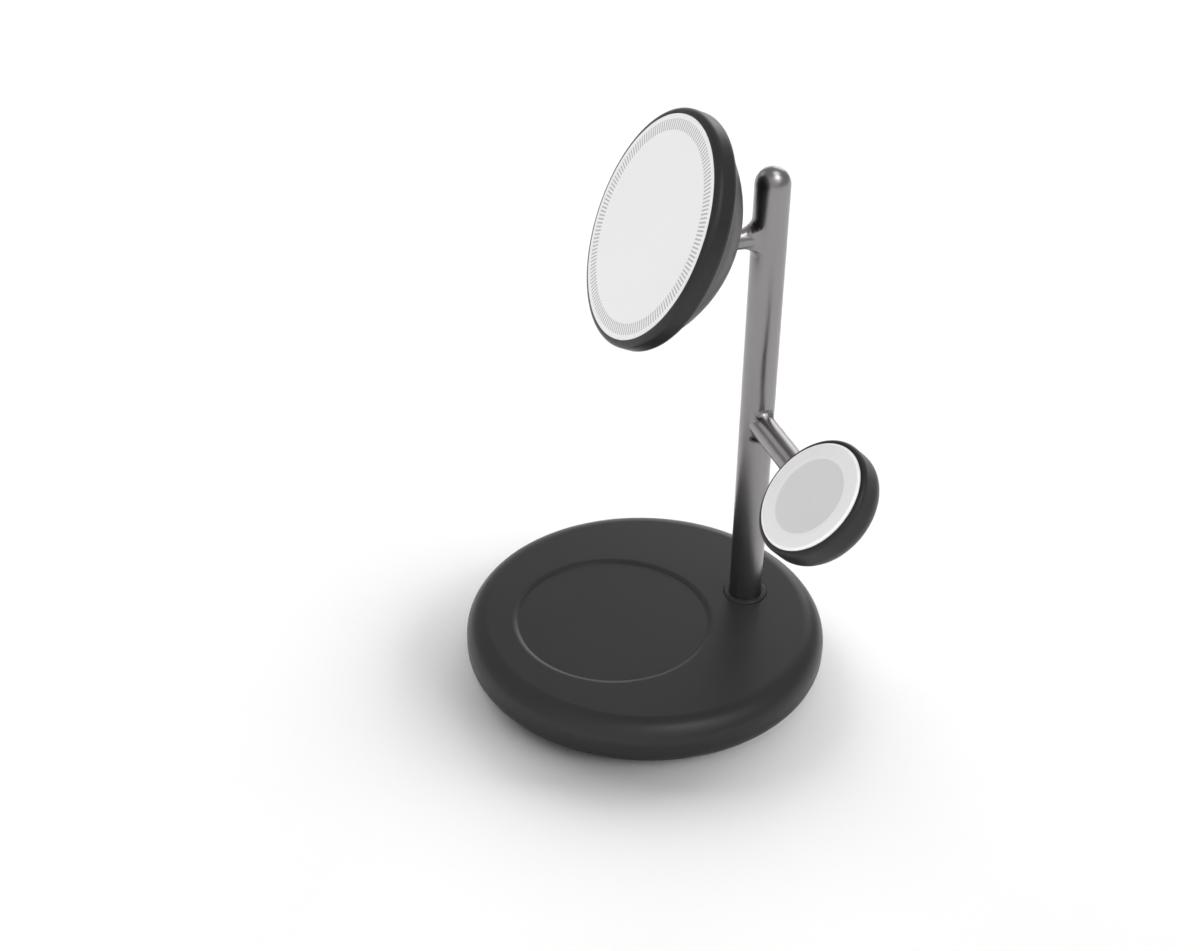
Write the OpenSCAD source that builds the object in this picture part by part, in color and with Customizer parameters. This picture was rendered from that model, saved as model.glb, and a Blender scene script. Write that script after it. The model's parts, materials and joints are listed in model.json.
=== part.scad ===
// Three-in-one wireless charger: a round base with a place for an earbud case, a metal stem,
// a tilting phone disc and a tilting watch disc.
// Millimetres. +Z is up, the front is towards -Y, and the origin is the middle of the base on the floor.

/* [Base] */
// Outer diameter of the base
base_d = 100; // [96:1:110]
// Height of the base's top above the floor
base_h = 13; // [12.6:0.1:15]
// Height of the base's underside above the floor, which the rubber foot spans
foot_drop = 0.6; // [0.4:0.1:0.8]
// Radius of the rounded shoulder
shoulder_round = 5.8; // [4:0.1:6.4]
// Radius of the rounded lower edge
lower_round = 4; // [3:0.1:4.4]
// Thickness of the base's side wall
base_wall = 2.2; // [1.8:0.1:2.6]
// Thickness of the base's top
base_top_t = 2; // [1.8:0.1:2.4]
// Width of the lower lip outside the bottom cover
lip_w = 5.85; // [5:0.05:6.4]
// Height of the lower lip
lip_t = 2; // [1.6:0.1:2.4]

/* [Earbud place] */
// Distance from the base's front edge to the recess's floor
recess_inset = 14; // [11:0.1:18]
// Distance from the recess's floor to the collar's seat
recess_gap = 7.2; // [5:0.1:12]
// Depth of the recess
recess_depth = 0.6; // [0.4:0.1:1]
// Radius of the recess's rounded rim, which slopes down to the floor
recess_round = 2.5; // [1:0.1:4]
// Width of the recess's floor outside the earbud coil
earbud_coil_inset = 4.4; // [3.5:0.1:8]
// Width of the earbud coil's winding
earbud_coil_w = 13; // [8:0.5:14]
// Thickness of the earbud coil
earbud_coil_t = 1; // [0.8:0.1:1.1]
// Width of the ferrite plate outside the earbud coil
earbud_ferrite_rim = 1.5; // [1:0.1:2]
// Thickness of the ferrite plate under the earbud coil
earbud_ferrite_t = 0.8; // [0.7:0.1:0.9]

/* [Bottom cover and foot] */
// Thickness of the bottom cover
cover_t = 1.9; // [1.8:0.1:2]
// Gap between the bottom cover and the lip
cover_gap = 0.15; // [0.1:0.05:0.3]
// Distance from the base's edge to the rubber foot pad
foot_inset = 7.5; // [7:0.1:9]
// Depth of the sunk face that the foot pad is glued to
foot_sink = 0.6; // [0.4:0.1:0.8]
// Distance of the four cover screws from the base's edge
boss_inset = 12; // [11.5:0.1:12.5]
// Diameter of the screw bosses
boss_d = 7; // [6:0.1:7.5]
// Diameter of the cover screws' shanks
cover_screw_d = 2.4; // [2:0.1:2.6]
// Diameter of the cover screws' heads
cover_head_d = 4.6; // [4.2:0.1:5]
// Length of the cover screws under the cover
cover_screw_l = 5; // [4:0.5:6]
// Distance from the base's edge to the steel ballast plate
ballast_inset = 9.5; // [9:0.1:11]
// Free height between the ballast plate and the chips
ballast_clear = 1; // [0.6:0.1:2]
// Free width round everything that passes the ballast plate
ballast_gap = 0.5; // [0.3:0.1:0.8]

/* [Charging electronics in the base] */
// Thickness of the main circuit board
board_t = 1.2; // [1:0.1:1.3]
// Width of the recess's floor outside the board's round part
board_inset = 0.4; // [0.2:0.1:3]
// Width of the board's rear part
board_w = 30; // [29:0.5:32]
// Distance from the base's edge to the board's rear end
board_rear_inset = 7; // [6.5:0.1:7.5]
// Free width round the stem's nut
nut_gap = 2.6; // [2:0.1:3]
// Distance of the board screws from the board's side edges
board_screw_side = 3; // [2.8:0.1:3.2]
// Distance of the front pair of board screws in front of the stem's axis
board_screw_front = 13.2; // [12.8:0.1:14]
// Distance of the rear pair of board screws from the board's rear end
board_screw_rear = 3.5; // [3:0.1:4]
// Diameter of the posts that the board is screwed to
post_d = 4.2; // [4:0.1:4.6]
// Diameter of the board screws' shanks
board_screw_d = 1.8; // [1.6:0.1:2]
// Diameter of the board screws' heads
board_head_d = 3.6; // [3.2:0.1:4]
// Height of the board screws' heads
board_head_t = 1; // [0.8:0.1:1.2]
// Outer width of the USB-C socket
usb_w = 8.94; // [8.8:0.02:9]
// Outer height of the USB-C socket
usb_h = 3.26; // [3.2:0.02:3.3]
// Length of the USB-C socket
usb_l = 7.3; // [7:0.1:8]
// Wall of the USB-C socket
usb_wall = 0.32; // [0.28:0.02:0.36]
// How far the socket's mouth lies inside the base's side
usb_set_back = 0.7; // [0.5:0.1:1]
// Width of the socket's tongue
tongue_w = 6.6; // [6.4:0.1:6.7]
// Thickness of the socket's tongue
tongue_t = 0.7; // [0.6:0.05:0.8]
// Gap between the socket and the base's side wall
usb_gap = 0.2; // [0.1:0.05:0.3]

/* [Stem] */
// Diameter of the stem
stem_d = 9.1; // [9:0.1:10.4]
// Height of the stem's top above the phone arm's axis
stem_over = 18.2; // [10:0.1:30]
// Distance from the base's rear edge to the stem's axis
stem_inset = 19.8; // [19:0.1:22]
// Wall of the stem
stem_wall = 1.55; // [1.4:0.05:1.8]
// Height of the shoulder between the stem and its threaded end, on the radius
spigot_step = 0.55; // [0.4:0.05:0.8]
// Length of the threaded end below the nut
spigot_past = 0.4; // [0.2:0.1:0.4]
// Width of the collar round the stem's foot, with its gap to the stem
collar_w = 1.55; // [1.3:0.05:2]
// Height of the collar
collar_h = 1.1; // [0.9:0.1:1.4]
// Radius of the collar's rounded top edge
collar_round = 0.5; // [0.3:0.1:0.6]
// Depth of the seat for the stem and its collar in the base's top
seat_depth = 0.6; // [0.4:0.1:0.8]
// Gap round the collar and between the collar and the stem
collar_gap = 0.1; // [0.05:0.05:0.2]
// Diameter of the steel plate under the base's top
plate_d = 26; // [22:0.5:27]
// Thickness of that plate
plate_t = 1.5; // [1:0.1:1.6]
// Width of the washer round the threaded end
washer_w = 3.25; // [2.5:0.25:4]
// Thickness of the washer
washer_t = 0.8; // [0.6:0.1:1]
// Width of the nut round the threaded end, at its flats
nut_w = 2; // [1.6:0.1:2.4]
// Height of the nut
nut_t = 3.5; // [3:0.1:3.8]
// Diameter of the leads to the discs, as a share of the stem's bore
lead_share = 0.3; // [0.24:0.01:0.3]
// Free width round a lead in a bore
lead_gap = 0.1; // [0.05:0.05:0.15]

/* [Phone arm] */
// Height of the phone arm above the base's top
phone_arm_up = 111.2; // [106:0.1:114]
// Diameter of the phone arm
phone_arm_d = 5.2; // [5:0.1:5.6]
// Distance from the stem's axis to the phone pivot
phone_arm_l = 17.75; // [17.5:0.05:20]
// Free width round the lead in the phone arm
phone_bore_gap = 0.2; // [0.15:0.05:0.25]
// Diameter of the two phone pivot pins
pin_d = 2.5; // [2.3:0.1:2.6]
// Running clearance of a pivot in its bore, on the radius
pivot_gap = 0.05; // [0.03:0.01:0.08]
// Width of the blend from the phone arm into the stem, above and below the arm
phone_blend = 3; // [1:0.1:3.4]

/* [Phone disc] */
// Upward tilt of the phone disc as photographed
phone_tilt = 25; // [5:1:35]
// Lowest tilt of the phone disc
phone_tilt_min = 0; // [0:1:2]
// Highest tilt of the phone disc
phone_tilt_max = 40; // [38:1:42]
// Diameter of the phone disc's white pad
phone_pad_d = 56.4; // [55:0.1:66]
// Width of the black rim round the pad
phone_rim = 1.85; // [1.8:0.05:3]
// Depth of the phone disc from its face to the back's top
phone_depth = 20.5; // [20.3:0.1:22]
// Distance of the pivot inside the back's top
phone_pivot_in = 4.2; // [4.1:0.05:4.4]
// Gap between the white pad and the bezel
pad_gap = 0.08; // [0.05:0.01:0.1]
// Thickness of the white pad
phone_pad_t = 1.8; // [1.6:0.1:2]
// Radius of the bezel's rounded front edge
bezel_front_round = 1.7; // [1.2:0.05:1.75]
// Radius of the bezel's rounded rear edge
bezel_rear_round = 1.9; // [1.7:0.1:2]
// Depth of the bezel
bezel_l = 6; // [5.9:0.05:6.1]
// Width of the shoulder in the bezel that the pad rests on
pad_shoulder = 1; // [0.8:0.1:1.2]
// Width of the bezel's rear lip
bezel_lip_w = 1; // [0.8:0.1:1.2]
// Depth of the bezel's rear lip
bezel_lip_l = 0.8; // [0.6:0.1:1]
// Width of the bezel's back outside the domed back
dome_inset = 0.15; // [0.05:0.05:0.3]
// Thickness of the domed back
dome_wall = 1.8; // [1.6:0.1:2]
// Gap round the arm in the slot of the domed back
slot_gap = 0.4; // [0.3:0.05:0.5]
// Width of each pin lug inside the domed back
lug_w = 4.3; // [4:0.1:4.5]
// Outer diameter of the pin lugs
lug_d = 5.6; // [5:0.1:5.8]
// Distance of the four phone screws from the bezel's rear lip
phone_screw_inset = 4.4; // [4.3:0.1:4.7]
// Diameter of the bosses for the phone screws
phone_boss_d = 5; // [4.4:0.1:5]
// Diameter of the phone screws' shanks
phone_screw_d = 1.8; // [1.6:0.1:2]
// Diameter of the phone screws' heads
phone_head_d = 3.4; // [3.2:0.1:3.6]
// Length of the phone screws behind the carrier
phone_screw_l = 2.6; // [2:0.1:2.8]

/* [Phone charging parts] */
// Gap between the ring of magnets and the bezel
magnet_inset = 0.2; // [0.1:0.05:0.4]
// Width of the ring of magnets
magnet_w = 4; // [3:0.1:4.4]
// Thickness of the magnets
magnet_t = 2; // [1.8:0.1:2.2]
// Number of magnets in the ring
magnet_count = 16; // [12:2:20]
// Gap between neighbouring magnets
magnet_gap = 0.4; // [0.3:0.1:0.8]
// Gap between the ferrite plate and the magnets
phone_ferrite_gap = 0.5; // [0.2:0.1:1]
// Width of the ferrite plate outside the phone coil
phone_ferrite_rim = 1; // [0.5:0.1:2]
// Width of the phone coil's winding
phone_coil_w = 11.5; // [8:0.5:13]
// Thickness of the phone coil
phone_coil_t = 1.2; // [1:0.1:1.3]
// Gap between the carrier and the bezel
carrier_gap = 0.1; // [0.05:0.05:0.15]
// Distance between the phone disc's circuit board and its screws' axes
phone_board_inset = 3.8; // [3:0.1:5]
// Thickness of the phone disc's circuit board
phone_board_t = 1; // [0.8:0.1:1.2]

/* [Watch arm] */
// Height of the watch arm above the base's top
watch_arm_up = 57.7; // [50:0.1:70]
// Diameter of the watch arm
watch_arm_d = 6.9; // [6.6:0.1:7]
// Distance from the stem's axis to the watch disc's axis
watch_arm_reach = 47.3; // [40:0.1:50]
// How far the arm reaches into the watch disc, from the disc's side
watch_arm_in = 6.55; // [6:0.05:7]
// Diameter of the bore in the watch arm
watch_bore_d = 4; // [3.8:0.1:4.2]
// Width of the blend from the watch arm into the stem, above and below the arm
watch_blend = 2.4; // [0.8:0.1:2.8]
// Diameter of the spindle that the watch disc turns on
spindle_d = 4.8; // [4.6:0.1:5]
// Length of the spindle inside the watch disc, past the disc's axis
spindle_past = 3.5; // [3:0.1:3.6]
// Length of the spindle's end inside the watch arm
spindle_grip = 7; // [6:0.5:9]
// Diameter of the bore in the spindle
spindle_bore_d = 1.9; // [1.85:0.01:2]
// Diameter of the groove for the keeper
groove_d = 3.2; // [3:0.1:3.4]
// Width of the groove for the keeper
groove_w = 1; // [0.9:0.05:1.2]
// Length of the stop lug on the arm's end
stop_l = 1.2; // [1:0.1:1.4]
// Width of the stop lug
stop_w = 2; // [1.6:0.1:2.2]
// Thickness of the keeper plate
keeper_t = 0.8; // [0.7:0.05:0.85]
// Width of the keeper plate
keeper_w = 6.4; // [6:0.1:7]

/* [Watch disc] */
// Upward tilt of the watch disc as photographed
watch_tilt = 45; // [20:1:70]
// Lowest tilt of the watch disc
watch_tilt_min = 0; // [0:1:10]
// Highest tilt of the watch disc
watch_tilt_max = 90; // [80:1:90]
// Diameter of the watch disc's white puck
puck_d = 29.4; // [29:0.1:34]
// Width of the black rim round the puck
watch_rim = 1.35; // [1.2:0.05:3]
// Depth of the watch disc from its front edge to its back
watch_depth = 13; // [12.9:0.1:14]
// Distance of the pivot inside the watch disc's back
watch_pivot_in = 3.8; // [3.7:0.05:3.9]
// Radius of the watch housing's rounded front edge
watch_front_round = 1.1; // [0.6:0.05:1.15]
// Radius of the watch housing's rounded rear edge
watch_rear_round = 4.8; // [4.5:0.1:5]
// Depth at which the rear edge starts to round
watch_straight = 4.5; // [4.3:0.1:4.8]
// Distance from the disc's side to where the domed back starts
watch_dome_side = 2.75; // [2.6:0.05:3]
// Depth at which the domed back starts
watch_dome_start = 8.8; // [8.6:0.1:9]
// Thickness of the domed back
watch_dome_wall = 1.8; // [1.6:0.1:2]
// Gap between the puck and the housing
puck_gap = 0.08; // [0.05:0.01:0.1]
// Depth of the puck's seat in the housing
puck_seat = 1.6; // [1.4:0.1:1.8]
// Height of the puck above the housing's edge
puck_proud = 0.5; // [0.3:0.05:0.7]
// Radius of the puck's rounded edge
puck_round = 0.6; // [0.3:0.05:0.7]
// Width of the puck's rim round the hollow that the watch's back lies in
dish_rim = 3.5; // [2:0.1:6]
// Depth of that hollow
dish_depth = 0.9; // [0.5:0.1:1]
// Width of the shoulder in the housing that the puck rests on
puck_shoulder = 1.5; // [1.2:0.1:1.8]
// Width of the shoulder that the circuit board rests on
board_shoulder = 1; // [0.8:0.1:1.2]
// Half the width of the bearing block inside the housing
block_half_w = 4.2; // [4:0.1:4.5]
// Clearance of the arm's end in the housing, on the radius
arm_gap = 0.1; // [0.05:0.05:0.2]
// Gap between the watch coil and the housing
watch_coil_gap = 1.2; // [0.6:0.1:2]
// Width of the watch coil's winding
watch_coil_w = 6; // [4:0.1:6.4]
// Gap between the watch coil and the magnet in its hole
watch_magnet_gap = 1; // [0.6:0.1:2]
// Thickness of the watch coil and magnet
watch_coil_t = 2; // [1.8:0.05:2.05]
// Gap between the watch ferrite plate and the housing
watch_ferrite_gap = 0.4; // [0.2:0.1:0.8]
// Thickness of the watch ferrite plate
watch_ferrite_t = 0.8; // [0.7:0.05:0.85]
// Gap between the watch disc's circuit board and the housing
watch_board_gap = 0.1; // [0.05:0.05:0.2]
// Thickness of the watch disc's circuit board
watch_board_t = 1; // [0.9:0.05:1.05]

/* [Hidden] */
$fn = 96;
eps = 0.01;

base_r = base_d / 2;
base_floor = foot_drop;
ceiling_z = base_h - base_top_t;
cover_r = base_r - lip_w - cover_gap;
cover_top = base_floor + cover_t;
lip_top = base_floor + lip_t;
foot_d = base_d - 2 * foot_inset;
pad_top = base_floor + foot_sink;
boss_ring = base_r - boss_inset;

stem_r = stem_d / 2;
stem_back = base_r - stem_inset;
seat_z = base_h - seat_depth;
collar_d = stem_d + 2 * collar_w;
seat_r = collar_d / 2 + collar_gap;
spigot_d = stem_d - 2 * spigot_step;
stem_bore_d = stem_d - 2 * stem_wall;
plate_z = ceiling_z - plate_t;
washer_d = spigot_d + 2 * washer_w;
washer_z = plate_z - washer_t;
nut_flats = spigot_d + 2 * nut_w;
nut_corners = nut_flats / cos(30);
nut_z = washer_z - nut_t;
spigot_z = nut_z - spigot_past;

recess_front_y = recess_inset - base_r;
recess_back_y = stem_back - seat_r - recess_gap;
recess_d = recess_back_y - recess_front_y;
recess_y = (recess_back_y + recess_front_y) / 2;
recess_rim_w = sqrt(recess_depth * (2 * recess_round - recess_depth));
earbud_coil_d = recess_d - 2 * earbud_coil_inset;
earbud_coil_hole = earbud_coil_d - 2 * earbud_coil_w;
earbud_ferrite_d = earbud_coil_d + 2 * earbud_ferrite_rim;
earbud_coil_z = ceiling_z - earbud_coil_t;

board_top = earbud_coil_z - earbud_ferrite_t;
board_z = board_top - board_t;
board_d = recess_d - 2 * board_inset;
board_rear = base_r - board_rear_inset;
board_hole_d = nut_corners + 2 * nut_gap;
board_screw_x = board_w / 2 - board_screw_side;
board_screw_y1 = stem_back - board_screw_front;
board_screw_y2 = board_rear - board_screw_rear;
board_screw_in = 1.6;
screw_room = 0.2;
chip_t = 1.2;
ballast_d = base_d - 2 * ballast_inset;
ballast_top = board_z - chip_t - ballast_clear;
ballast_t = ballast_top - cover_top;
usb_z = board_z - usb_h / 2;
usb_mouth_y = base_r - usb_set_back;
usb_back_y = usb_mouth_y - usb_l;
usb_floor = 0.8;
usb_seat_w = usb_w + 2;
usb_seat_rear = usb_mouth_y - 3;
// The chips' places and widths, as shares of the diameter of the board's round part
chips = [[-0.24, -0.22, 0.14], [0.12, -0.26, 0.12], [-0.1, 0.06, 0.16], [0.2, 0.2, 0.1], [-0.26, 0.22, 0.1]];

phone_arm_z = base_h + phone_arm_up;
phone_pivot_y = stem_back - phone_arm_l;
stem_top = phone_arm_z + stem_over;
watch_arm_z = base_h + watch_arm_up;
lead_d = lead_share * stem_bore_d;
lead_bend = lead_d;
phone_bore_d = lead_d + 2 * phone_bore_gap;
phone_lead_back = stem_bore_d / 2 - lead_d / 2 - lead_gap;
watch_lead_left = 0.6 * phone_lead_back;

phone_r = phone_pad_d / 2 + phone_rim;
phone_d = 2 * phone_r;
phone_pivot_depth = phone_depth - phone_pivot_in;
pad_back = -phone_pad_t;
magnet_back = pad_back - magnet_t;
phone_coil_back = pad_back - phone_coil_t;
bezel_back = -bezel_l;
lip_front = bezel_back + bezel_lip_l;
bezel_bore = phone_pad_d - 2 * pad_shoulder;
bezel_lip_bore = bezel_bore - 2 * bezel_lip_w;
magnet_ring_d = bezel_bore - 2 * magnet_inset;
magnet_ring_bore = magnet_ring_d - 2 * magnet_w;
phone_ferrite_d = magnet_ring_bore - 2 * phone_ferrite_gap;
phone_coil_d = phone_ferrite_d - 2 * phone_ferrite_rim;
phone_coil_hole = phone_coil_d - 2 * phone_coil_w;
phone_screw_ring = bezel_lip_bore / 2 - phone_screw_inset;
phone_board_d = 2 * (phone_screw_ring - phone_board_inset);
phone_lead_hole = 8;
dome_rise = phone_depth - bezel_l;
dome_rim_r = phone_r - bezel_rear_round - dome_inset;
dome_r = (pow(dome_rim_r, 2) + pow(dome_rise, 2)) / (2 * dome_rise);
dome_front = dome_r - phone_depth;
phone_head_t = 1;
phone_lead_past = 3;
slot_r = phone_arm_d / 2 + slot_gap;
slot_side = slot_r - 0.05;
lug_start = slot_r + 0.1;
lug_end = lug_start + lug_w;
pin_start = phone_bore_d / 2 + 0.05;

watch_r = puck_d / 2 + watch_rim;
watch_d = 2 * watch_r;
watch_pivot_depth = watch_depth - watch_pivot_in;
watch_arm_stop = watch_r - watch_arm_in;
watch_coil_back = -puck_seat - watch_coil_t;
watch_ferrite_back = watch_coil_back - watch_ferrite_t;
watch_board_back = watch_ferrite_back - watch_board_t;
watch_chip_t = 1;
watch_chip_w = 2.8;
watch_chip_l = block_half_w + 2;
watch_chip_off = block_half_w + 3.2;
watch_bore = puck_d - 2 * puck_shoulder;
watch_inner_bore = watch_bore - 2 * board_shoulder;
watch_coil_d = watch_bore - 2 * watch_coil_gap;
watch_coil_hole = watch_coil_d - 2 * watch_coil_w;
watch_magnet_d = watch_coil_hole - 2 * watch_magnet_gap;
watch_ferrite_d = watch_bore - 2 * watch_ferrite_gap;
watch_board_d = watch_bore - 2 * watch_board_gap;
watch_dome_rim_r = watch_r - watch_dome_side;
watch_dome_rise = watch_depth - watch_dome_start;
watch_dome_r = (pow(watch_dome_rim_r, 2) + pow(watch_dome_rise, 2)) / (2 * watch_dome_rise);
watch_dome_front = watch_dome_r - watch_depth;
dish_r = puck_d / 2 - dish_rim;
dish_sphere_r = (pow(dish_r, 2) + pow(dish_depth, 2)) / (2 * dish_depth);
block_top = watch_board_back - 0.1;
end_play = 0.2;
block_end = spindle_past + end_play;
keeper_x = -2;
stop_inner = spindle_d / 2 + end_play;
watch_lead_past = 1;
stop_slack = asin(stop_w / 2 / stop_inner) + 1.5;

blend_side = 0.82;
blend_sink = 0.03;
blend_rings = 5;
blend_sides = 40;

black = [0.2, 0.2, 0.21];
steel = [0.6, 0.59, 0.58];
white = [0.93, 0.93, 0.93];
green = [0.1, 0.35, 0.2];
copper = [0.75, 0.42, 0.22];
ferrite = [0.16, 0.15, 0.15];

// Shared shapes

// A ring about Z, from z0 to z1
module ring(outer_d, inner_d, z0, z1) {
    difference() {
        translate([0, 0, z0]) cylinder(d = outer_d, h = z1 - z0);
        translate([0, 0, z0 - 1]) cylinder(d = inner_d, h = z1 - z0 + 2);
    }
}

// A disc about Z, from z0 to z1
module disc(d, z0, z1) {
    translate([0, 0, z0]) cylinder(d = d, h = z1 - z0);
}

// Half section of a disc whose lower and upper edges are rounded
module rounded_section(r, z0, z1, low, top) {
    difference() {
        translate([0, z0]) square([r, z1 - z0]);
        if (top > 0) {
            translate([r - top, z1 - top]) {
                difference() {
                    square(top + 1);
                    circle(top, $fn = 48);
                }
            }
        }
        if (low > 0) {
            translate([r - low, z0 + low]) {
                difference() {
                    translate([0, -low - 1]) square(low + 1);
                    circle(low, $fn = 48);
                }
            }
        }
    }
}

// A bar along X between x0 and x1, at height z
module bar_x(d, x0, x1, z = 0) {
    translate([x0, 0, z]) rotate([0, 90, 0]) cylinder(d = d, h = x1 - x0);
}

// A flat-head screw whose head's flat top is at z = 0, pointing towards +Z
module countersunk_screw(head_d, shank_d, head_t, shank_l) {
    cylinder(d1 = head_d, d2 = shank_d, h = head_t);
    translate([0, 0, head_t - eps]) cylinder(d = shank_d, h = shank_l + eps);
}

// A stadium-shaped bar along Y
module flat_bar_y(w, h, y0, y1) {
    rotate([-90, 0, 0]) {
        translate([0, 0, y0]) {
            linear_extrude(y1 - y0) {
                square([w - h, h], center = true);
                translate([(w - h) / 2, 0]) circle(d = h, $fn = 48);
                translate([-(w - h) / 2, 0]) circle(d = h, $fn = 48);
            }
        }
    }
}

// Places a phone disc's piece: its own +Z is the way the face looks, with the face at 0
module on_phone_head() {
    translate([0, phone_pivot_y, phone_arm_z])
        rotate([90 - phone_tilt, 0, 0])
            translate([0, 0, phone_pivot_depth])
                children();
}

// Places a watch disc's piece in the same way
module on_watch_head() {
    translate([watch_arm_reach, stem_back, watch_arm_z])
        rotate([90 - watch_tilt, 0, 0])
            translate([0, 0, watch_pivot_depth])
                children();
}

// Copies at the corners of a square round Z
module at_corner(number, radius) {
    rotate([0, 0, 90 * number - 45]) translate([radius, 0, 0]) children();
}

// Base

module base_outer() {
    rotate_extrude() rounded_section(base_r, base_floor, base_h, lower_round, shoulder_round);
}

module base_hollow() {
    rotate_extrude() {
        rounded_section(base_r - base_wall, lip_top, ceiling_z, 0, shoulder_round - base_wall);
    }
    translate([0, 0, base_floor - 1]) cylinder(r = cover_r + cover_gap, h = lip_t + 1 + eps);
}

module recess_cut() {
    rotate_extrude() {
        difference() {
            translate([0, -recess_depth]) square([recess_d / 2 + recess_rim_w, recess_depth + 1]);
            translate([recess_d / 2 + recess_rim_w, -recess_round]) circle(recess_round, $fn = 96);
        }
    }
}

module board_posts() {
    for (x = [-board_screw_x, board_screw_x], y = [board_screw_y1, board_screw_y2]) {
        translate([x, y, board_top]) cylinder(d = post_d, h = ceiling_z - board_top + eps);
    }
}

module board_post_holes() {
    for (x = [-board_screw_x, board_screw_x], y = [board_screw_y1, board_screw_y2]) {
        translate([x, y, board_top - 1]) cylinder(d = board_screw_d, h = 1 + board_screw_in + screw_room);
    }
}

module base_shell() {
    color(black) {
        difference() {
            union() {
                difference() {
                    base_outer();
                    base_hollow();
                }
                for (k = [1:4]) {
                    at_corner(k, boss_ring) {
                        translate([0, 0, cover_top]) cylinder(d = boss_d, h = ceiling_z - cover_top + eps);
                    }
                }
                board_posts();
            }
            translate([0, recess_y, base_h]) recess_cut();
            translate([0, stem_back, seat_z]) cylinder(r = seat_r, h = seat_depth + 1);
            translate([0, stem_back, ceiling_z - 1])
                cylinder(d = spigot_d + 2 * collar_gap, h = base_top_t + 1);
            for (k = [1:4]) {
                at_corner(k, boss_ring) {
                    translate([0, 0, cover_top - 1]) {
                        cylinder(d = cover_screw_d, h = 1 + cover_screw_l + screw_room);
                    }
                }
            }
            board_post_holes();
            translate([0, 0, usb_z]) {
                flat_bar_y(usb_w + 2 * usb_gap, usb_h + 2 * usb_gap, base_r - base_wall - 2, base_r + 2);
            }
        }
    }
}

module bottom_cover() {
    color(black) {
        difference() {
            disc(2 * cover_r, base_floor, cover_top);
            disc(foot_d, base_floor - 1, pad_top);
            for (k = [1:4]) {
                at_corner(k, boss_ring) {
                    translate([0, 0, pad_top]) {
                        cylinder(d1 = cover_head_d, d2 = cover_screw_d, h = cover_top - pad_top);
                    }
                    cylinder(d = cover_screw_d, h = cover_top + 1);
                }
            }
        }
    }
}

module foot_pad() {
    color([0.12, 0.12, 0.12]) disc(foot_d, 0, pad_top);
}

module ballast_plate() {
    color(steel) {
        difference() {
            disc(ballast_d, cover_top, ballast_top);
            for (k = [1:4]) {
                at_corner(k, boss_ring) {
                    translate([0, 0, cover_top - 1])
                        cylinder(d = boss_d + 2 * ballast_gap, h = ballast_t + 2);
                }
            }
            translate([0, stem_back, cover_top - 1]) cylinder(d = board_hole_d, h = ballast_t + 2);
            translate([-usb_w / 2 - ballast_gap, stem_back, cover_top - 1]) {
                cube([usb_w + 2 * ballast_gap, base_r, ballast_t + 2]);
            }
        }
    }
}

module cover_screw(number) {
    color(steel) {
        at_corner(number, boss_ring) {
            translate([0, 0, pad_top]) {
                countersunk_screw(cover_head_d, cover_screw_d, cover_top - pad_top, cover_screw_l);
            }
        }
    }
}

module main_board() {
    color(green) {
        difference() {
            union() {
                translate([0, recess_y, board_z]) cylinder(d = board_d, h = board_t);
                translate([-board_w / 2, 0, board_z]) cube([board_w, board_rear, board_t]);
                translate([-usb_seat_w / 2, 0, board_z]) cube([usb_seat_w, usb_seat_rear, board_t]);
            }
            translate([0, stem_back, board_z - 1]) cylinder(d = board_hole_d, h = board_t + 2);
            for (x = [-board_screw_x, board_screw_x], y = [board_screw_y1, board_screw_y2]) {
                translate([x, y, board_z - 1]) cylinder(d = board_screw_d, h = board_t + 2);
            }
        }
    }
}

module board_chips() {
    color([0.15, 0.15, 0.16]) {
        for (chip = chips) {
            translate([(chip[0] - chip[2] / 2) * board_d, recess_y + (chip[1] - chip[2] / 2) * board_d,
                    board_z - chip_t]) {
                cube([chip[2] * board_d, chip[2] * board_d, chip_t]);
            }
        }
    }
}

module board_screw(number) {
    x = number % 2 == 1 ? -board_screw_x : board_screw_x;
    y = number < 3 ? board_screw_y1 : board_screw_y2;
    color(steel) {
        translate([x, y, board_z - board_head_t]) {
            cylinder(d = board_head_d, h = board_head_t);
            cylinder(d = board_screw_d, h = board_head_t + board_t + board_screw_in);
        }
    }
}

module usb_shell() {
    color([0.75, 0.75, 0.74]) {
        translate([0, 0, usb_z]) {
            difference() {
                flat_bar_y(usb_w, usb_h, usb_back_y, usb_mouth_y);
                flat_bar_y(usb_w - 2 * usb_wall, usb_h - 2 * usb_wall,
                           usb_back_y + usb_floor, usb_mouth_y + 1);
            }
        }
    }
}

module usb_tongue() {
    color([0.12, 0.12, 0.12]) {
        translate([-tongue_w / 2, usb_back_y + usb_floor, usb_z - tongue_t / 2]) {
            cube([tongue_w, usb_l - 2 * usb_floor, tongue_t]);
        }
    }
}

module earbud_coil() {
    color(copper) {
        translate([0, recess_y, 0]) ring(earbud_coil_d, earbud_coil_hole, earbud_coil_z, ceiling_z);
    }
}

module earbud_ferrite() {
    color(ferrite) {
        translate([0, recess_y, 0]) disc(earbud_ferrite_d, board_top, earbud_coil_z);
    }
}

// Stem and arms

// Half section of an upright tube's outside, from z0 up, with a round top ending at z1
module domed_section(r, z0, z1) {
    translate([0, z0]) square([r, z1 - r - z0]);
    intersection() {
        translate([0, z1 - r]) circle(r, $fn = 96);
        translate([0, z0]) square([r + 1, z1]);
    }
}

// How far the blend reaches out from an arm of radius ra, at angle a round the arm.
// At the arm's sides it stays within the upright tube of radius rt.
function blend_reach(a, ra, rt, width) = min(width, blend_side * rt / max(abs(sin(a)), 0.001) - ra);

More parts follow.
